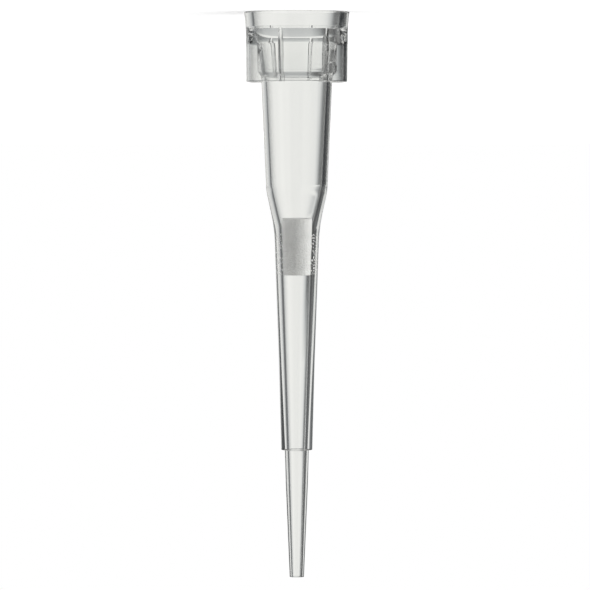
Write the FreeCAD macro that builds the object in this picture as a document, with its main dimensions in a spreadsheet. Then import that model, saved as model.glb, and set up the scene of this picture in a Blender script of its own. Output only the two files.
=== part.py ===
import FreeCAD, Part
import os
import Sketcher

# A clear filter tip for a small air-displacement pipette: one injection moulding, and the porous
# plug that is pressed into it. Millimetres. The tip stands on its rim with the nose up: the origin
# is the centre of the rim's plane and +Z runs along the bore to the nose.

doc = FreeCAD.newDocument("filter_tip")

# Driving dimensions. Radii are measured from the axis, lengths along it.
DIMENSIONS = [
    # rim, skirt and pockets
    ("rim_depth", 0.93, "height of the solid rim, up to the ceiling of the pockets"),
    ("lip_flare", 0.09, "how far the lip stands out past the collar's face"),
    ("lip_length", 0.85, "height over which the lip runs out to nothing"),
    ("collar_length", 3.9, "height of the collar, from the rim to the shoulder"),
    ("collar_draft", 0.03, "radius that the collar loses over its height"),
    ("pocket_width", 0.38, "gap between the guide's wall and the skirt"),
    ("skirt_wall", 0.2, "wall of the thin skirt outside the pockets"),
    ("skirt_root", 0.15, "how much thicker the skirt is at the ceiling"),
    ("skirt_root_length", 0.85, "height over which that extra thickness runs out"),
    ("skirt_corner", 0.15, "rounding of the skirt's free edge"),
    ("pocket_ceiling", 0.08, "width of the pockets where they end at the solid rim"),
    # ribs between the skirt and the guide
    ("rib_count", 6, "number of ribs"),
    ("rib_turn", 50.5, "angle of the first rib from +X, degrees"),
    ("rib_thickness", 0.16, "thickness of one rib"),
    ("rib_root_thickness", 0.24, "thickness of its root, next to the rim"),
    ("rib_root_length", 1.52, "height of the root, from the pockets' ceiling"),
    ("weld", 0.05, "how deep a rib's section reaches into the walls that it joins"),
    # mouth, lead-in cone, guide and seal taper, each wider than the next one in
    ("mouth_length", 0.78, "height of the mouth, from the rim to the lead-in cone"),
    ("mouth_draft", 0.12, "radius that the mouth loses over its height"),
    ("lead_in_length", 0.6, "height of the lead-in cone"),
    ("lead_in_step", 0.36, "radius that the lead-in cone loses"),
    ("guide_length", 1.6, "height of the guide"),
    ("guide_draft", 0.05, "radius that the guide loses over its height"),
    ("guide_wall", 0.29, "wall of the guide, between the bore and the pockets"),
    ("seat_step", 0.21, "radius that the bore loses between the guide and the seal taper"),
    ("socket_radius", 1.68, "bore radius at the shoulder, where the seal taper begins"),
    ("socket_draft", 0.28, "radius that the seal taper loses over its length"),
    ("socket_length", 6.1, "barrel outside, from the shoulder to the reducer"),
    ("socket_wall", 0.295, "wall of the barrel"),
    # reducer and shaft
    ("reducer_length", 2.0, "outside height of the reducer between barrel and shaft"),
    ("reducer_lead", 0.3, "how much earlier the bore narrows than the outside"),
    ("reducer_crown", 3.0, "blend radius at the reducer's wide end"),
    ("reducer_hollow", 9.0, "blend radius at the reducer's narrow end"),
    ("shaft_bore_radius", 0.86, "bore radius at the start of the shaft"),
    ("shaft_bore_end_radius", 0.44, "bore radius at the step"),
    ("shaft_length", 12.38, "from the reducer to the step"),
    ("shaft_wall", 0.395, "wall at the start of the shaft"),
    ("shaft_end_wall", 0.43, "wall at the end of the shaft"),
    # nose
    ("nose_length", 7.12, "from the step to the orifice"),
    ("nose_root_length", 1.92, "straighter first stretch of the nose"),
    ("nose_wall", 0.238, "wall of the nose at its root"),
    ("end_wall", 0.166, "wall at the orifice"),
    ("orifice_radius", 0.235, "bore radius at the nose's end"),
    # filter plug
    ("plug_length", 3.18, "length of the filter plug"),
    ("plug_stand", 0.55, "how far the plug stands back out of the shaft's bore"),
    ("plug_grip", 0.3, "depth in the shaft's bore at which the plug begins to be squeezed"),
    ("plug_chamfer", 0.04, "broken edge at the plug's ends"),
]

sheet = doc.addObject("Spreadsheet::Sheet", "Sizes")
for row, (alias, value, meaning) in enumerate(DIMENSIONS, start=1):
    sheet.set("A%d" % row, meaning)
    sheet.set("B%d" % row, str(value))
    sheet.setAlias("B%d" % row, alias)
doc.recompute()

# Places along the axis, as expressions of the sheet's values.
LEAD_IN_END = "(Sizes.mouth_length + Sizes.lead_in_length)"
GUIDE_END = "(%s + Sizes.guide_length)" % LEAD_IN_END
SKIRT_ROOT_END = "(Sizes.rim_depth + Sizes.skirt_root_length)"
RIB_ROOT_END = "(Sizes.rim_depth + Sizes.rib_root_length)"
SHOULDER = "Sizes.collar_length"
REDUCER = "(Sizes.collar_length + Sizes.socket_length)"
SOCKET_END = "(%s - Sizes.reducer_lead)" % REDUCER
SHAFT = "(%s + Sizes.reducer_length)" % REDUCER
STEP = "(%s + Sizes.shaft_length)" % SHAFT
NOSE_KNEE = "(%s + Sizes.nose_root_length)" % STEP
NOSE_END = "(%s + Sizes.nose_length)" % STEP

# Radii worked out from the bore, its walls and the pockets, from the inside out.
SOCKET_END_RADIUS = "(Sizes.socket_radius - Sizes.socket_draft)"
BARREL_RADIUS = "(Sizes.socket_radius + Sizes.socket_wall)"
BARREL_END_RADIUS = "(%s + Sizes.socket_wall)" % SOCKET_END_RADIUS
GUIDE_END_RADIUS = "(Sizes.socket_radius + Sizes.seat_step)"
GUIDE_RADIUS = "(%s + Sizes.guide_draft)" % GUIDE_END_RADIUS
MOUTH_END_RADIUS = "(%s + Sizes.lead_in_step)" % GUIDE_RADIUS
MOUTH_RADIUS = "(%s + Sizes.mouth_draft)" % MOUTH_END_RADIUS
GUIDE_END_OUTSIDE = "(%s + Sizes.guide_wall)" % GUIDE_END_RADIUS
GUIDE_OUTSIDE = "(%s + Sizes.guide_wall)" % GUIDE_RADIUS
SKIRT_INSIDE = "(%s + Sizes.pocket_width)" % GUIDE_OUTSIDE
SKIRT_RADIUS = "(%s + Sizes.skirt_wall)" % SKIRT_INSIDE
COLLAR_RADIUS = "(%s + Sizes.collar_draft)" % SKIRT_RADIUS
CEILING_OUTSIDE = "(%s - Sizes.skirt_root)" % SKIRT_INSIDE
CEILING_INSIDE = "(%s - Sizes.pocket_ceiling)" % CEILING_OUTSIDE
SHAFT_RADIUS = "(Sizes.shaft_bore_radius + Sizes.shaft_wall)"
SHAFT_END_RADIUS = "(Sizes.shaft_bore_end_radius + Sizes.shaft_end_wall)"
NOSE_BORE_SLOPE = "((Sizes.orifice_radius - Sizes.shaft_bore_end_radius) / Sizes.nose_length)"
NOSE_KNEE_RADIUS = "(Sizes.shaft_bore_end_radius + %s * Sizes.nose_root_length + Sizes.nose_wall)"
NOSE_KNEE_RADIUS = NOSE_KNEE_RADIUS % NOSE_BORE_SLOPE
NOSE_RADIUS = "(Sizes.shaft_bore_end_radius + Sizes.nose_wall)"
END_RADIUS = "(Sizes.orifice_radius + Sizes.end_wall)"


def number(expression):
    """Value of an expression of the sheet's sizes."""
    return float(sheet.evalExpression(expression))


def origin_feature(body, role):
    """The body's own origin plane or axis with this role."""
    return next(f for f in body.Origin.OriginFeatures if f.Role == role)


def section(body, name, corners):
    """Closed polygon in the body's XZ plane through corners, each a (radius, height) pair.

    A corner with a third item is rounded to that radius.
    """
    sketch = body.newObject("Sketcher::SketchObject", name)
    sketch.AttachmentSupport = (origin_feature(body, "XZ_Plane"), [""])
    sketch.MapMode = "FlatFace"
    points = [FreeCAD.Vector(number(corner[0]), number(corner[1]), 0) for corner in corners]
    for here, there in zip(points, points[1:] + points[:1]):
        sketch.addGeometry(Part.LineSegment(here, there), False)
    count = len(corners)
    for i, corner in enumerate(corners):
        sketch.addConstraint(Sketcher.Constraint("Coincident", i, 2, (i + 1) % count, 1))
        bind(sketch, i, "DistanceX", corner[0], -2)
        bind(sketch, i, "DistanceY", corner[1], -1)
    for i, corner in enumerate(corners):
        if len(corner) == 3:
            round_corner(sketch, i, count, corner[2])
    return sketch


def round_corner(sketch, line, count, radius):
    """Arc at the start of a line, whose radius the sheet gives; the corner point stays where it was."""
    arc = sketch.GeometryCount
    before = (line - 1) % count
    ends = sketch.getPoint(before, 1), sketch.getPoint(line, 2)
    sketch.fillet(before, line, ends[0], ends[1], number(radius), True, True)
    index = sketch.addConstraint(Sketcher.Constraint("Radius", arc, number(radius)))
    sketch.setExpression("Constraints[%d]" % index, radius)


def bind(sketch, line, kind, expression, axis):
    """Hold the start of a line on an axis, or at the distance from it that the sheet gives."""
    if expression == "0":
        sketch.addConstraint(Sketcher.Constraint("PointOnObject", line, 1, axis))
        return
    size = Sketcher.Constraint(kind, -1, 1, line, 1, number(expression))
    index = sketch.addConstraint(size)
    sketch.setExpression("Constraints[%d]" % index, expression)


def turn(body, kind, name, sketch):
    """Revolution or Groove of a section, once round the axis."""
    feature = body.newObject("PartDesign::" + kind, name)
    feature.Profile = sketch
    feature.ReferenceAxis = (sketch, ["V_Axis"])
    feature.Angle = 360
    doc.recompute()
    return feature


def blend(body, name, base, radius, rings):
    """Fillet of one radius on the base's circular edges at each (radius, height) in rings."""
    wanted = [(number(r), number(z)) for r, z in rings]
    names = []
    for index, edge in enumerate(base.Shape.Edges, start=1):
        curve = edge.Curve
        if not isinstance(curve, Part.Circle):
            continue
        for r, z in wanted:
            if abs(curve.Radius - r) < 1e-4 and abs(curve.Center.z - z) < 1e-4:
                names.append("Edge%d" % index)
    if len(names) != len(rings):
        raise RuntimeError("%s: %d of %d edges found" % (name, len(names), len(rings)))
    feature = body.newObject("PartDesign::Fillet", name)
    feature.Base = (base, names)
    feature.setExpression("Radius", radius)
    doc.recompute()
    return feature


def smaller(before, after):
    """Stop if a cut took nothing away."""
    if after.Shape.Volume > before.Shape.Volume - 1e-6:
        raise RuntimeError("%s cut nothing" % after.Name)


def plate(body, name, thickness, corners):
    """Flat plate of this thickness on a section turned to the first rib's angle."""
    sketch = section(body, name + "_line", corners)
    about_axis = FreeCAD.Rotation(FreeCAD.Vector(0, 1, 0), number("Sizes.rib_turn"))
    sketch.AttachmentOffset = FreeCAD.Placement(FreeCAD.Vector(0, 0, 0), about_axis)
    sketch.setExpression("AttachmentOffset.Rotation.Angle", "Sizes.rib_turn")
    pad = body.newObject("PartDesign::Pad", name)
    pad.Profile = sketch
    pad.Midplane = True
    pad.setExpression("Length", thickness)
    doc.recompute()
    return pad


def make_tip():
    """The moulded tip: outside, bore, pockets under the rim, and the ribs between them."""
    body = doc.addObject("PartDesign::Body", "tip_body")
    body.Label = "tip_body"

    outline = section(body, "outline", [
        ("0", "0"),
        ("%s + Sizes.lip_flare" % COLLAR_RADIUS, "0"),
        (COLLAR_RADIUS, "Sizes.lip_length"),
        (SKIRT_RADIUS, SHOULDER),
        (BARREL_RADIUS, SHOULDER),
        (BARREL_END_RADIUS, REDUCER, "Sizes.reducer_crown"),
        (SHAFT_RADIUS, SHAFT, "Sizes.reducer_hollow"),
        (SHAFT_END_RADIUS, STEP),
        (NOSE_RADIUS, STEP),
        (NOSE_KNEE_RADIUS, NOSE_KNEE),
        (END_RADIUS, NOSE_END),
        ("0", NOSE_END),
    ])
    outside = turn(body, "Revolution", "outside", outline)
    corner = blend(body, "skirt_edge", outside, "Sizes.skirt_corner", [(SKIRT_RADIUS, SHOULDER)])

    bore_line = section(body, "bore_line", [
        ("0", "0"),
        (MOUTH_RADIUS, "0"),
        (MOUTH_END_RADIUS, "Sizes.mouth_length"),
        (GUIDE_RADIUS, LEAD_IN_END),
        (GUIDE_END_RADIUS, GUIDE_END),
        ("Sizes.socket_radius", SHOULDER),
        (SOCKET_END_RADIUS, SOCKET_END),
        ("Sizes.shaft_bore_radius", SHAFT),
        ("Sizes.shaft_bore_end_radius", STEP),
        ("Sizes.orifice_radius", NOSE_END),
        ("0", NOSE_END),
    ])
    bore = turn(body, "Groove", "bore", bore_line)
    smaller(corner, bore)

    pocket_line = section(body, "pocket_line", [
        (CEILING_INSIDE, "Sizes.rim_depth"),
        (CEILING_OUTSIDE, "Sizes.rim_depth"),
        (SKIRT_INSIDE, SKIRT_ROOT_END),
        (SKIRT_INSIDE, SHOULDER),
        (BARREL_RADIUS, SHOULDER),
        (GUIDE_END_OUTSIDE, GUIDE_END),
        (GUIDE_OUTSIDE, LEAD_IN_END),
    ])
    pockets = turn(body, "Groove", "pockets", pocket_line)
    smaller(bore, pockets)

    # A rib's section is the pocket's, grown by the weld into the walls and the ceiling.
    ceiling = "Sizes.rim_depth - Sizes.weld"
    inner = [
        (GUIDE_OUTSIDE + " - Sizes.weld", LEAD_IN_END),
        (CEILING_INSIDE + " - Sizes.weld", ceiling),
    ]
    outer = [
        (CEILING_OUTSIDE + " + Sizes.weld", ceiling),
        (SKIRT_INSIDE + " + Sizes.weld", SKIRT_ROOT_END),
    ]
    rib = plate(body, "rib", "Sizes.rib_thickness", inner + outer + [
        (SKIRT_INSIDE + " + Sizes.weld", SHOULDER),
        (BARREL_RADIUS + " - Sizes.weld", SHOULDER),
        (GUIDE_END_OUTSIDE + " - Sizes.weld", GUIDE_END),
    ])
    root = plate(body, "rib_root", "Sizes.rib_root_thickness", inner + outer + [
        (SKIRT_INSIDE + " + Sizes.weld", RIB_ROOT_END),
        (GUIDE_END_OUTSIDE + " - Sizes.weld", RIB_ROOT_END),
    ])
    ribs = body.newObject("PartDesign::PolarPattern", "ribs")
    ribs.Originals = [rib, root]
    ribs.Axis = (origin_feature(body, "Z_Axis"), [""])
    ribs.Angle = 360
    ribs.setExpression("Occurrences", "Sizes.rib_count")
    body.Tip = ribs
    doc.recompute()
    return body


def make_plug():
    """The porous plug: a short cylinder, squeezed to the taper of the shaft's bore."""
    body = doc.addObject("PartDesign::Body", "filter_plug")
    body.Label = "filter_plug"
    slope = "((Sizes.shaft_bore_end_radius - Sizes.shaft_bore_radius) / Sizes.shaft_length)"
    start = "(%s - Sizes.plug_stand)" % SHAFT
    grip = "(%s + Sizes.plug_grip)" % SHAFT
    end = "(%s + Sizes.plug_length)" % start
    free_radius = "(Sizes.shaft_bore_radius + %s * Sizes.plug_grip)" % slope
    depth = "(Sizes.plug_length - Sizes.plug_stand)"
    end_radius = "(Sizes.shaft_bore_radius + %s * %s)" % (slope, depth)
    chamfer_radius = "(%s - %s * Sizes.plug_chamfer)" % (end_radius, slope)
    outline = section(body, "plug_outline", [
        ("0", start),
        ("%s - Sizes.plug_chamfer" % free_radius, start),
        (free_radius, "%s + Sizes.plug_chamfer" % start),
        (free_radius, grip),
        (chamfer_radius, "%s - Sizes.plug_chamfer" % end),
        ("%s - Sizes.plug_chamfer" % end_radius, end),
        ("0", end),
    ])
    turn(body, "Revolution", "plug", outline)
    return body


sub_parts = [make_tip(), make_plug()]
doc.recompute()

for item in doc.Objects:
    if "Invalid" in item.State or "Error" in item.State:
        raise RuntimeError("%s did not compute: %s" % (item.Name, item.State))
for part in sub_parts:
    if part.Shape.isNull() or not part.Shape.isValid():
        raise RuntimeError("%s has no valid shape" % part.Label)

os.makedirs("parts", exist_ok=True)
for part in sub_parts:
    part.Shape.exportStep("parts/%s.step" % part.Label)
    print(part.Label, "solids", len(part.Shape.Solids), "volume", round(part.Shape.Volume, 4))
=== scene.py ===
import math

import bmesh
import bpy
import numpy as np
from mathutils import Matrix, Vector, noise


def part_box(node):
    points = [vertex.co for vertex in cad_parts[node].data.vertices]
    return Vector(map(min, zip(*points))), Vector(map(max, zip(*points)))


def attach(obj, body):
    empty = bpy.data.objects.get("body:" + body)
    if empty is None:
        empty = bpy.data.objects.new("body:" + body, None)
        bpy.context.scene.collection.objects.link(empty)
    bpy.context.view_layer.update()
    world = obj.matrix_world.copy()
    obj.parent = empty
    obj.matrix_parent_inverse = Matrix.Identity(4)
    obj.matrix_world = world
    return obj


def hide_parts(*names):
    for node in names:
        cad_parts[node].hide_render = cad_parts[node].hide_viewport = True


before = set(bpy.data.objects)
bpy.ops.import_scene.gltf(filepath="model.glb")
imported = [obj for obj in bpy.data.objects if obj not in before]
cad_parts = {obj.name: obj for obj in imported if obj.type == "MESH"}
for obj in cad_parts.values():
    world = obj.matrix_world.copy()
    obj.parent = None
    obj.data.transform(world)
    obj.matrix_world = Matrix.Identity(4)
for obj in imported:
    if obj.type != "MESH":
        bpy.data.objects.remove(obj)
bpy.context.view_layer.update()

MM = 0.001
scene = bpy.context.scene

# ---------------------------------------------------------------- sizes, in millimetres
# Sizes that the CAD has too. Heights start at the rim's plane, radii at the bore's axis.
SHOULDER = 3.9
SKIRT_INSIDE = 2.61
SKIRT_RADIUS = 2.81
COLLAR_RADIUS = 2.84
LIP_RADIUS = 2.93
LIP_LENGTH = 0.85
SOCKET_RADIUS = 1.68
SOCKET_END_RADIUS = 1.40
SOCKET_END = 9.7
BARREL_RADIUS = 1.975
BARREL_END_RADIUS = 1.695
REDUCER = 10.0
SHAFT = 12.0
SHAFT_BORE = 0.86
SHAFT_RADIUS = 1.255
STEP = 24.38
STEP_BORE = 0.44
STEP_RADIUS = 0.87
NOSE_RADIUS = 0.678
KNEE = 26.3
KNEE_RADIUS = 0.6227
NOSE_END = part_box("tip_body")[1].z / MM
ORIFICE = 0.235
END_RADIUS = 0.401
RIB_COUNT = 6
RIB_TURN = math.radians(50.5)
RIB_THICKNESS = 0.16
RIB_ROOT_END = 2.45

# From here on the sizes are the visual's own. The shaft's outside bends in slightly at its waist.
WAIST = 19.4
WAIST_RADIUS = 1.0
# The lip stays this far inside the CAD's box.
LIP_INSET = 0.003

# Corners of the collar's surfaces: radius, height, radius of the rounding.
POCKET_CEILING = 0.95
MOUTH_BORE = [
    (2.42, 0, 0.04),
    (2.35, 0.81, 0.2),
    (2.17, 1.5, 1),
    (1.94, 2.2, 3),
    (1.85, 2.76, 1),
    (1.78, 3.26, 0.6),
    (SOCKET_RADIUS, SHOULDER, 1),
]
GUIDE_OUTSIDE = [
    (BARREL_RADIUS, SHOULDER, 0),
    (1.98, 3.62, 0.3),
    (2.18, 3.34, 0.3),
    (2.2, 2.65, 0.5),
    (2.245, 1.6, 1.5),
    (2.42, POCKET_CEILING, 0),
]
SKIRT_INNER = [
    (SKIRT_INSIDE, SHOULDER, 0),
    (2.635, 1.79, 0.05),
    (2.47, POCKET_CEILING, 0),
]

# A rib is thicker from the ceiling to its root's end and thins out over the bevel. At the guide's wall
# the draft is added to its thickness at the skirt.
RIB_ROOT_THICKNESS = 0.18
RIB_BEVEL = 0.28
RIB_DRAFT = -0.07

# The ceiling's broken corners: their size as a share of its width, and how far they lean in as a share
# of that size. The walls' last row before them lies 0.005 mm lower than their upper edge.
CEILING_NIP = 0.3
CEILING_LEAN = 0.1
LAST_WALL_ROW = 0.96

# Steps round one ring of vertices, and the angle from which an edge is drawn sharp.
RIB_STEPS = 6
POCKET_STEPS = 54
SEGMENTS = RIB_COUNT * (RIB_STEPS + POCKET_STEPS)
SHARP_ANGLE = math.radians(28)

# The small round mark that the mould's gate leaves on the skirt, with a smooth step at its edge.
MARK_ANGLE = math.radians(226)
MARK_HEIGHT = 3.17
MARK_RADIUS = 0.36
MARK_DEPTH = 0.1
MARK_EDGE = 0.06
MARK_MARGIN = 0.03
MARK_ROWS = 26

# The filter: fused beads with pits between them, and a finer grain. Its ends stand inside the CAD's
# box, its beads press into the bore's wall, and the cap shares are the rings of its end faces.
PLUG_INSET = 0.004
PLUG_PRESS = 0.002
PLUG_EDGE = 0.05
PLUG_AROUND = 240
PLUG_ALONG = 150
CAP_SHARES = [0.0, 0.12, 0.24, 0.36, 0.48, 0.6, 0.7, 0.8, 0.88, 0.95]
BEAD = 0.14
BEAD_EDGE = 0.35
PIT_DEPTH = 0.018
GRAINS_PER_MM = 14
GRAIN_DEPTH = 0.006

# ---------------------------------------------------------------- profile helpers
# A rounding takes up at most this share of the shorter stretch beside its corner.
LONGEST_REACH = 0.45
ARC_STEP = math.radians(6)
SMALL = 1e-6
SMALL_TURN = 1e-4


def rounded(corners):
    """Polyline through (radius, height, rounding) corners, each of them rounded."""
    points = [Vector(corners[0][:2])]
    for before, corner, after in zip(corners, corners[1:], corners[2:]):
        here = Vector(corner[:2])
        back = Vector(before[:2]) - here
        ahead = Vector(after[:2]) - here
        turn = math.pi - back.angle(ahead)
        reach = corner[2] * math.tan(turn / 2)
        reach = min(reach, LONGEST_REACH * back.length, LONGEST_REACH * ahead.length)
        if reach < SMALL or turn < SMALL_TURN:
            points.append(here)
            continue
        start = here + back.normalized() * reach
        end = here + ahead.normalized() * reach
        count = max(3, math.ceil(turn / ARC_STEP))
        # A quadratic between the two tangent points keeps the tangents and is round enough here.
        for i in range(count + 1):
            t = i / count
            points.append(start.lerp(here, t).lerp(here.lerp(end, t), t))
    points.append(Vector(corners[-1][:2]))
    return points


def radius_at(points, height):
    """Radius at a height of a polyline that runs downwards."""
    rising = list(reversed(points))
    return float(np.interp(height, [point.y for point in rising], [point.x for point in rising]))


def place(radius, height, angle):
    """Point in metres from a radius and a height in millimetres and an angle."""
    return (radius * math.cos(angle) * MM, radius * math.sin(angle) * MM, height * MM)


def join_rings(bm, rings):
    """Faces between neighbouring rings. A ring that repeats one vertex gives triangles."""
    for here, there in zip(rings, rings[1:]):
        for i in range(len(here)):
            j = (i + 1) % len(here)
            bm.faces.new(list(dict.fromkeys((here[i], here[j], there[j], there[i]))))


def add_object(name, bm):
    """Smooth shaded object from a bmesh, with its normals facing out."""
    mesh = bpy.data.meshes.new(name)
    bmesh.ops.recalc_face_normals(bm, faces=bm.faces)
    bm.to_mesh(mesh)
    bm.free()
    obj = bpy.data.objects.new(name, mesh)
    scene.collection.objects.link(obj)
    mesh.shade_smooth()
    return obj


# ---------------------------------------------------------------- the moulded tip
def ring_angles(radius, thickness):
    """Angles round one ring: for each rib its own steps, then those of the pocket after it."""
    half = math.asin(thickness / 2 / max(radius, BARREL_RADIUS))
    pocket = 2 * math.pi / RIB_COUNT - 2 * half
    angles = []
    for rib in range(RIB_COUNT):
        middle = RIB_TURN + 2 * math.pi * rib / RIB_COUNT
        angles += [middle - half + 2 * half * s / RIB_STEPS for s in range(RIB_STEPS)]
        angles += [middle + half + pocket * s / POCKET_STEPS for s in range(POCKET_STEPS)]
    return angles


def marked_radius(radius, height, angle):
    """Radius of the skirt's outside, with the round mark sunk into it."""
    across = radius * math.remainder(angle - MARK_ANGLE, 2 * math.pi)
    distance = math.hypot(across, height - MARK_HEIGHT)
    if distance > MARK_RADIUS:
        return radius
    edge = min(1.0, (MARK_RADIUS - distance) / MARK_EDGE)
    return radius - MARK_DEPTH * edge * edge * (3 - 2 * edge)


def mark_rows(here, there):
    """Close rows over the round mark's height, so that its edge is smooth."""
    reach = MARK_RADIUS + MARK_MARGIN
    heights = [MARK_HEIGHT + reach - 2 * reach * i / MARK_ROWS for i in range(MARK_ROWS + 1)]
    return [here.lerp(there, (here.y - height) / (here.y - there.y)) for height in heights]


def tip_outline():
    """Down the skirt to the rim, up the bore to the nose, and back down outside to the shoulder."""
    section = rounded([
        (SKIRT_INSIDE, SHOULDER, 0),
        (SKIRT_RADIUS, SHOULDER, 0.15),
        (COLLAR_RADIUS, LIP_LENGTH, 8.0),
        (LIP_RADIUS - LIP_INSET, 0, 0.03),
        *MOUTH_BORE,
        (SOCKET_END_RADIUS, SOCKET_END, 1.5),
        (SHAFT_BORE, SHAFT, 2.0),
        (STEP_BORE, STEP, 4.0),
        (ORIFICE, NOSE_END, 0.02),
        (END_RADIUS, NOSE_END, 0.03),
        (KNEE_RADIUS, KNEE, 4.0),
        (NOSE_RADIUS, STEP, 0.03),
        (STEP_RADIUS, STEP, 0.04),
        (WAIST_RADIUS, WAIST, 60.0),
        (SHAFT_RADIUS, SHAFT, 9.0),
        (BARREL_END_RADIUS, REDUCER, 3.0),
        (BARREL_RADIUS, SHOULDER, 0),
    ])
    outline = []
    for here, there in zip(section, section[1:]):
        outline.append(here)
        if min(here.x, there.x) > SKIRT_INSIDE and here.y > MARK_HEIGHT > there.y:
            outline += mark_rows(here, there)
    outline.append(section[-1])
    return outline


def add_outline_rings(bm, outline):
    """One ring of vertices for each point of the outline. The guide's wall starts at the last one."""
    rings = []
    for index, point in enumerate(outline):
        thickness = RIB_THICKNESS + (RIB_DRAFT if index == len(outline) - 1 else 0)
        ring = []
        for angle in ring_angles(point.x, thickness):
            radius = point.x
            if radius > SKIRT_RADIUS - SMALL:
                radius = marked_radius(radius, point.y, angle)
            ring.append(bm.verts.new(place(radius, point.y, angle)))
        rings.append(ring)
    join_rings(bm, rings)
    return rings


def pocket_levels():
    """Height, guide radius, skirt radius and rib thickness of each row, down to the ceiling."""
    guide = rounded(GUIDE_OUTSIDE)
    skirt = rounded(SKIRT_INNER)
    bevel = [RIB_ROOT_END, RIB_ROOT_END + RIB_BEVEL]
    stops = {*bevel, LAST_WALL_ROW}
    heights = sorted({round(point.y, 5) for point in guide + skirt} | stops, reverse=True)
    levels = []
    for height in heights[1:]:
        thickness = float(np.interp(height, bevel, [RIB_ROOT_THICKNESS, RIB_THICKNESS]))
        levels.append((height, radius_at(guide, height), radius_at(skirt, height), thickness))
    # The ceiling's two corners are broken.
    height, guide_radius, skirt_radius, thickness = levels.pop()
    nip = (skirt_radius - guide_radius) * CEILING_NIP
    lean = nip * CEILING_LEAN
    levels.append((height + nip, guide_radius + lean, skirt_radius - lean, thickness))
    levels.append((height, guide_radius + nip, skirt_radius - nip, thickness))
    return levels


def add_pocket_row(bm, radius, height, thickness, rib):
    """Row of vertices across the pocket that follows a rib."""
    half = math.asin(thickness / 2 / radius)
    start = RIB_TURN + 2 * math.pi * rib / RIB_COUNT + half
    span = 2 * math.pi / RIB_COUNT - 2 * half
    angles = [start + span * s / POCKET_STEPS for s in range(POCKET_STEPS + 1)]
    return [bm.verts.new(place(radius, height, angle)) for angle in angles]


def add_pocket(bm, rib, levels, guide_ring, skirt_ring):
    """Pocket that follows a rib: the guide's wall, the skirt's wall, two rib sides and the ceiling."""
    first = rib * (RIB_STEPS + POCKET_STEPS) + RIB_STEPS
    picks = [(first + s) % SEGMENTS for s in range(POCKET_STEPS + 1)]
    guide_row = [guide_ring[i] for i in picks]
    skirt_row = [skirt_ring[i] for i in picks]
    for height, guide_radius, skirt_radius, thickness in levels:
        guide_next = add_pocket_row(bm, guide_radius, height, thickness + RIB_DRAFT, rib)
        skirt_next = add_pocket_row(bm, skirt_radius, height, thickness, rib)
        for s in range(POCKET_STEPS):
            bm.faces.new((guide_row[s], guide_row[s + 1], guide_next[s + 1], guide_next[s]))
            bm.faces.new((skirt_row[s + 1], skirt_row[s], skirt_next[s], skirt_next[s + 1]))
        for s in (0, POCKET_STEPS):
            bm.faces.new((guide_row[s], guide_next[s], skirt_next[s], skirt_row[s]))
        guide_row, skirt_row = guide_next, skirt_next
    for s in range(POCKET_STEPS):
        bm.faces.new((guide_row[s], guide_row[s + 1], skirt_row[s + 1], skirt_row[s]))


def add_rib_end(bm, rib, guide_ring, skirt_ring):
    """End face of a rib at the shoulder."""
    first = rib * (RIB_STEPS + POCKET_STEPS)
    for i in range(first, first + RIB_STEPS):
        j = (i + 1) % SEGMENTS
        bm.faces.new((guide_ring[i], guide_ring[j], skirt_ring[j], skirt_ring[i]))


def make_tip():
    """The clear moulding: one closed surface, with a pocket between each two ribs."""
    bm = bmesh.new()
    rings = add_outline_rings(bm, tip_outline())
    levels = pocket_levels()
    for rib in range(RIB_COUNT):
        add_pocket(bm, rib, levels, rings[-1], rings[0])
        add_rib_end(bm, rib, rings[-1], rings[0])
    moulding = add_object("tip_moulding", bm)
    moulding.data.set_sharp_from_angle(angle=SHARP_ANGLE)
    return moulding


# ---------------------------------------------------------------- the porous filter
def plug_section(start, end, widest):
    """Points of the plug as (radius, height): one end, the side along the bore, the other end."""
    slope = (STEP_BORE - SHAFT_BORE) / (STEP - SHAFT)
    side = []
    for i in range(PLUG_ALONG + 1):
        height = start + (end - start) * i / PLUG_ALONG
        wall = min(widest, SHAFT_BORE + slope * (height - SHAFT)) + PLUG_PRESS
        cut = max(0.0, PLUG_EDGE - min(height - start, end - height))
        rounding = PLUG_EDGE - math.sqrt(max(0.0, PLUG_EDGE * PLUG_EDGE - cut * cut))
        side.append((wall - rounding, height))
    bottom = [(side[0][0] * share, start) for share in CAP_SHARES]
    top = [(side[-1][0] * share, end) for share in reversed(CAP_SHARES)]
    return bottom + side + top


def surface_depth(spot):
    """How deep the surface lies at a spot between the fused beads and in the grain."""
    distances = noise.voronoi(spot / BEAD)[0]
    gap = min(1.0, (distances[1] - distances[0]) / BEAD_EDGE)
    return PIT_DEPTH * (1 - gap) ** 2 + GRAIN_DEPTH * abs(noise.noise(spot * GRAINS_PER_MM))


def make_plug():
    """The filter, with its beads and grain as real relief."""
    low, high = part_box("filter_plug")
    start = low.z / MM + PLUG_INSET
    end = high.z / MM - PLUG_INSET
    bm = bmesh.new()
    rings = []
    for radius, height in plug_section(start, end, high.x / MM):
        if radius == 0.0:
            rings.append([bm.verts.new((0, 0, height * MM))] * PLUG_AROUND)
            continue
        ring = []
        for i in range(PLUG_AROUND):
            angle = 2 * math.pi * i / PLUG_AROUND
            spot = Vector((radius * math.cos(angle), radius * math.sin(angle), height))
            depth = surface_depth(spot)
            if height <= start:
                spot.z += depth
            elif height >= end:
                spot.z -= depth
            else:
                spot.x *= (radius - depth) / radius
                spot.y *= (radius - depth) / radius
            ring.append(bm.verts.new(spot * MM))
        rings.append(ring)
    join_rings(bm, rings)
    return add_object("filter_beads", bm)


# ---------------------------------------------------------------- node helpers
def feed(tree, socket, value):
    """Link another node's output to an input, or set the input to a number, a grey or a colour."""
    if isinstance(value, bpy.types.NodeSocket):
        tree.links.new(value, socket)
    elif socket.type == "RGBA":
        colour = value if isinstance(value, tuple) else (value, value, value)
        socket.default_value = (*colour, 1)
    else:
        socket.default_value = value


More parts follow.
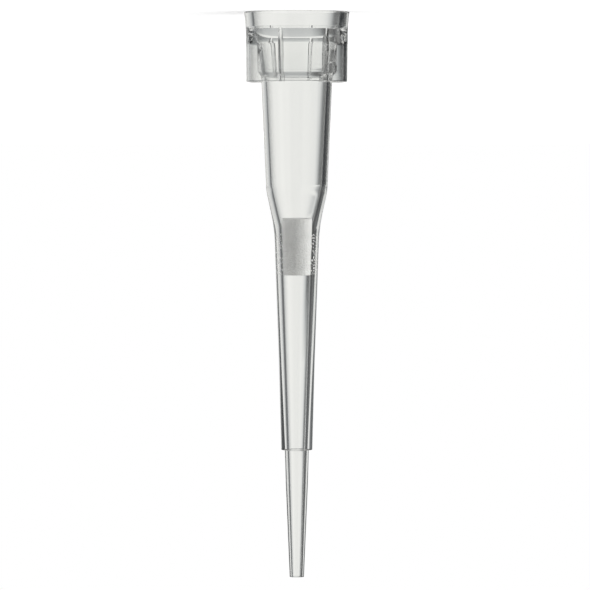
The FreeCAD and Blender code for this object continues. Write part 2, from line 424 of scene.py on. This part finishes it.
def add_node(tree, kind, inputs=None, **settings):
    """New shader node with its settings, and its inputs by name or number."""
    node = tree.nodes.new("ShaderNode" + kind)
    for name, value in settings.items():
        setattr(node, name, value)
    for name, value in (inputs or {}).items():
        feed(tree, node.inputs[name], value)
    return node


def add_math(tree, operation, first, second=None):
    inputs = {0: first} if second is None else {0: first, 1: second}
    return add_node(tree, "Math", inputs, operation=operation).outputs[0]


def add_mix(tree, weight, first, second, blend="MIX"):
    inputs = {0: weight, 6: first, 7: second}
    return add_node(tree, "Mix", inputs, data_type="RGBA", blend_type=blend).outputs[2]


def add_ramp(tree, angle, reach, stops):
    """Grey by an angle in radians, from stops in degrees between -reach and +reach."""
    position = add_math(tree, "ADD", add_math(tree, "DIVIDE", angle, math.radians(2 * reach)), 0.5)
    ramp = add_node(tree, "ValToRGB", {0: position})
    elements = ramp.color_ramp.elements
    elements.remove(elements[-1])
    for number, (degrees, grey) in enumerate(stops):
        position = (degrees + reach) / (2 * reach)
        element = elements[0] if number == 0 else elements.new(position)
        element.position = position
        element.color = (grey, grey, grey, 1)
    return ramp.outputs["Color"]


def add_noise(tree, scale, detail, roughness=0.5):
    coordinates = add_node(tree, "TexCoord").outputs["Object"]
    inputs = {"Vector": coordinates, "Scale": scale, "Detail": detail, "Roughness": roughness}
    return add_node(tree, "TexNoise", inputs).outputs["Fac"]


# The noise texture's values lie mostly between these.
NOISE_LOW = 0.3
NOISE_HIGH = 0.7


def add_range(tree, source, source_low, source_high, low, high):
    """The source's range stretched to another one, and held at its ends."""
    inputs = {"Value": source, "From Min": source_low, "From Max": source_high}
    inputs.update({"To Min": low, "To Max": high})
    return add_node(tree, "MapRange", inputs).outputs["Result"]


def new_material(name):
    material = bpy.data.materials.new(name)
    material.use_nodes = True
    tree = material.node_tree
    return material, tree, tree.nodes["Principled BSDF"]


# ---------------------------------------------------------------- materials
# Places and depths are in millimetres, and the scales of noise are per metre.
PLASTIC_INDEX = 1.49
PLASTIC_COLOUR = (0.995, 0.998, 0.993)
POLISH = 0.02
POLISH_SCALE = 900
SATIN = 0.06
SATIN_START = 2.45
SATIN_FADE = 0.02
SATIN_END = SHOULDER + 0.001

FILTER_ROUGHNESS = 0.9
FILTER_DARK = (0.80, 0.80, 0.78)
FILTER_LIGHT = (0.88, 0.88, 0.86)
SCATTER = 0.12
CLOUD_SCALE = 1500
BUMP_SCALE = 9000
BUMP_STRENGTH = 0.15
BUMP_HEIGHT = 0.02


def tip_material():
    """Clear plastic, polished, with the mould's satin finish on the collar next to the shoulder."""
    material, tree, shader = new_material("clear_polypropylene")
    feed(tree, shader.inputs["Transmission Weight"], 1.0)
    feed(tree, shader.inputs["IOR"], PLASTIC_INDEX)
    feed(tree, shader.inputs["Base Color"], PLASTIC_COLOUR)
    smears = add_noise(tree, POLISH_SCALE, detail=2.0)
    polish = add_range(tree, smears, NOISE_LOW, NOISE_HIGH, 0.0, POLISH)
    coordinates = add_node(tree, "TexCoord").outputs["Object"]
    height = add_node(tree, "SeparateXYZ", {0: coordinates}).outputs["Z"]
    satin = add_range(tree, height, SATIN_START * MM, (SATIN_START + SATIN_FADE) * MM, 0.0, SATIN)
    satin = add_math(tree, "MULTIPLY", satin, add_math(tree, "LESS_THAN", height, SATIN_END * MM))
    feed(tree, shader.inputs["Roughness"], add_math(tree, "ADD", satin, polish))
    return material


def filter_material():
    """Matte white plastic that light enters a little way, with clouds of tone and a fine bump."""
    material, tree, shader = new_material("porous_polyethylene")
    feed(tree, shader.inputs["Roughness"], FILTER_ROUGHNESS)
    feed(tree, shader.inputs["Subsurface Weight"], 1.0)
    feed(tree, shader.inputs["Subsurface Radius"], (1, 1, 1))
    feed(tree, shader.inputs["Subsurface Scale"], SCATTER * MM)
    clouds = add_noise(tree, CLOUD_SCALE, detail=2.0)
    weight = add_range(tree, clouds, NOISE_LOW, NOISE_HIGH, 0.0, 1.0)
    feed(tree, shader.inputs["Base Color"], add_mix(tree, weight, FILTER_DARK, FILTER_LIGHT))
    relief = add_noise(tree, BUMP_SCALE, detail=4.0, roughness=0.6)
    inputs = {"Strength": BUMP_STRENGTH, "Distance": BUMP_HEIGHT * MM, "Height": relief}
    feed(tree, shader.inputs["Normal"], add_node(tree, "Bump", inputs).outputs["Normal"])
    return material


# ---------------------------------------------------------------- the part
tip = make_tip()
tip.data.materials.append(tip_material())
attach(tip, "root")
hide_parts("tip_body")

plug = make_plug()
plug.data.materials.append(filter_material())
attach(plug, "root")
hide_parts("filter_plug")

# ---------------------------------------------------------------- floor
# A disc of white paper, in metres. Only the camera sees its glow, which brings it up to the
# background's white.
FLOOR_RADIUS = 4.0
FLOOR_SIDES = 96
PAPER = 0.8
PAPER_GLOW = 0.35


def floor_material():
    material = bpy.data.materials.new("floor_paper")
    material.use_nodes = True
    tree = material.node_tree
    tree.nodes.clear()
    camera_rays = add_node(tree, "LightPath").outputs["Is Camera Ray"]
    glow = add_node(tree, "Emission", {"Strength": add_math(tree, "MULTIPLY", camera_rays, PAPER_GLOW)})
    paper = add_node(tree, "BsdfDiffuse", {"Color": PAPER})
    both = add_node(tree, "AddShader", {0: paper.outputs[0], 1: glow.outputs[0]})
    add_node(tree, "OutputMaterial", {"Surface": both.outputs[0]})
    return material


floor_mesh = bmesh.new()
bmesh.ops.create_circle(floor_mesh, cap_ends=True, segments=FLOOR_SIDES, radius=FLOOR_RADIUS)
floor = add_object("floor", floor_mesh)
floor.data.materials.append(floor_material())
floor.visible_transmission = False
floor.visible_glossy = False

# ---------------------------------------------------------------- studio
# What the clear plastic shows: a brightness for each direction, as stops of (degrees, brightness).
# Azimuth 0 is straight behind the tip and positive is towards -X. Elevation is positive towards the
# nose. AROUND is for level directions. Each of the others lies over those before it, as far as its
# reach by azimuth and its weight by elevation let it.
AROUND = [
    (-180, 0.4), (-160, 0.4), (-150, 0.85), (-120, 0.87), (-106, 0.4), (-96, 0.6), (-84, 0.87), (-76, 0.3),
    (-66, 0.1), (-50, 0.12), (-44, 0.25), (-40, 0.46), (-30, 0.65), (-24, 0.72), (-15, 0.83), (-11, 0.86),
    (0, 0.87), (6, 0.82), (8, 0.74), (10, 0.6), (12, 0.44), (14, 0.23), (16, 0.11), (21, 0.04), (28, 0.045),
    (36, 0.055), (44, 0.04), (64, 0.04), (76, 0.8), (112, 0.87), (128, 0.4), (150, 0.5),
]
# Above level the dark at positive azimuths starts farther out.
EDGE_ABOVE = [
    (-180, 0.87), (6, 0.86), (12, 0.82), (16, 0.72), (19, 0.55), (22, 0.3), (25, 0.13), (30, 0.06),
    (36, 0.12), (44, 0.06), (180, 0.06),
]
EDGE_REACH = [(-180, 0), (-1, 0), (1, 1), (50, 1), (62, 0), (180, 0)]
EDGE_WEIGHT = [(-90, 0), (2.8, 0), (4.3, 1), (5.8, 1), (8.5, 0.4), (18, 0.4), (30, 1), (90, 1)]
# Below level, fading in down to -17 degrees.
STRIP = [
    (-180, 0.4), (-165, 0.4), (-152, 0.87), (-118, 0.87), (-104, 0.3), (-90, 0.3), (-70, 0.3), (-55, 0.12),
    (0, 0.2), (8, 0.08), (20, 0.02), (53, 0.03), (70, 0.05), (76, 0.2), (82, 0.6), (110, 0.6), (120, 0.3),
    (180, 0.4),
]
STRIP_WEIGHT = [(-90, 1), (-17, 1), (-12, 0.8), (-9, 0.55), (-6, 0.37), (-4, 0.13), (-2, 0), (90, 0)]
# A dark card that stands low, at positive azimuths.
CORNER = 0.01
CORNER_REACH = [(-180, 0), (3, 0), (8, 1), (34, 1), (40, 0), (180, 0)]
CORNER_WEIGHT = [(-90, 1), (-8, 1), (-4, 0), (90, 0)]
# A low bright patch, straight behind the tip for a camera that looks down from azimuth -135.
WINDOW = 0.87
WINDOW_REACH = [(-180, 0), (36, 0), (41, 1), (54, 1), (59, 0), (180, 0)]
WINDOW_WEIGHT = [(-90, 0), (-34, 0), (-31, 1), (-20, 1), (-17, 0), (90, 0)]
# Bright overhead and underfoot.
SOFTBOX = 0.95
SOFTBOX_WEIGHT = [(-90, 1), (-40, 1), (-30, 0), (30, 0), (40, 1), (90, 1)]
# Dark parts of the pattern are a little cooler and light parts a little warmer.
COOL = (0.95, 1.0, 1.03)
WARM = (1.01, 1.0, 0.965)
# The light that falls on matte surfaces, by azimuth. It shades the filter.
SOFT_LIGHT = [
    (-180, 0), (-140, 0), (-120, 1.5), (-112, 2.0), (-90, 1.4), (-60, 0.6), (0, 0.5), (60, 0.7), (90, 1.3),
    (120, 2.6), (142, 2.8), (157, 0.6), (180, 0),
]
# How far the stops run each way, in degrees.
AZIMUTH_REACH = 180
ELEVATION_REACH = 90


def make_world():
    world = bpy.data.worlds.new("studio")
    world.use_nodes = True
    tree = world.node_tree
    tree.nodes.clear()
    direction = add_node(tree, "TexCoord").outputs["Generated"]
    axes = add_node(tree, "SeparateXYZ", {0: direction}).outputs
    azimuth = add_math(tree, "ARCTAN2", add_math(tree, "MULTIPLY", axes["X"], -1), axes["Y"])
    elevation = add_math(tree, "ARCSINE", axes["Z"])

    def around(stops):
        return add_ramp(tree, azimuth, AZIMUTH_REACH, stops)

    def upward(stops):
        return add_ramp(tree, elevation, ELEVATION_REACH, stops)

    def patch(reach, weight):
        return add_math(tree, "MULTIPLY", around(reach), upward(weight))

    pattern = add_mix(tree, patch(EDGE_REACH, EDGE_WEIGHT), around(AROUND), around(EDGE_ABOVE))
    pattern = add_mix(tree, upward(STRIP_WEIGHT), pattern, around(STRIP))
    pattern = add_mix(tree, patch(CORNER_REACH, CORNER_WEIGHT), pattern, CORNER)
    pattern = add_mix(tree, patch(WINDOW_REACH, WINDOW_WEIGHT), pattern, WINDOW)
    pattern = add_mix(tree, upward(SOFTBOX_WEIGHT), pattern, SOFTBOX)
    pattern = add_mix(tree, 1.0, pattern, add_mix(tree, pattern, COOL, WARM), "MULTIPLY")

    # The camera sees white, glossy and transmission rays the pattern, and matte bounces the soft light.
    rays = add_node(tree, "LightPath").outputs
    clear_rays = add_math(tree, "MAXIMUM", rays["Is Glossy Ray"], rays["Is Transmission Ray"])
    matte_rays = add_math(tree, "GREATER_THAN", rays["Diffuse Depth"], 0.5)
    colour = add_mix(tree, matte_rays, add_mix(tree, clear_rays, 1.0, pattern), around(SOFT_LIGHT))
    background = add_node(tree, "Background", {"Color": colour})
    add_node(tree, "OutputWorld", {"Surface": background.outputs[0]})
    return world


scene.world = make_world()

# ---------------------------------------------------------------- camera
# It stands in front of the tip and is rolled half a turn, so that the nose points down in the picture.
# The sizes are in millimetres, apart from the clipping distances, which are in metres.
CAMERA_DISTANCE = 200.0
CAMERA_HEIGHT = 7.66
TARGET_HEIGHT = 15.74
CAMERA_SIDE = 0.1
VIEW_HEIGHT = 32.88
SENSOR = 36
NEAREST = 0.01
FARTHEST = 10


def make_camera():
    position = Vector((CAMERA_SIDE, -CAMERA_DISTANCE, CAMERA_HEIGHT))
    ahead = Vector((0, CAMERA_DISTANCE, TARGET_HEIGHT - CAMERA_HEIGHT))
    camera_data = bpy.data.cameras.new("camera")
    camera_data.sensor_width = SENSOR
    camera_data.lens = SENSOR * ahead.length / VIEW_HEIGHT
    camera_data.clip_start = NEAREST
    camera_data.clip_end = FARTHEST
    camera = bpy.data.objects.new("camera", camera_data)
    scene.collection.objects.link(camera)
    back = -ahead.normalized()
    right = Vector((-1, 0, 0))
    turn = Matrix((right, back.cross(right), back)).transposed().to_4x4()
    camera.matrix_world = Matrix.Translation(position * MM) @ turn
    return camera


scene.camera = make_camera()

# ---------------------------------------------------------------- render settings
scene.cycles.max_bounces = 32
scene.cycles.transmission_bounces = 32
scene.cycles.glossy_bounces = 16
scene.view_settings.view_transform = "Standard"
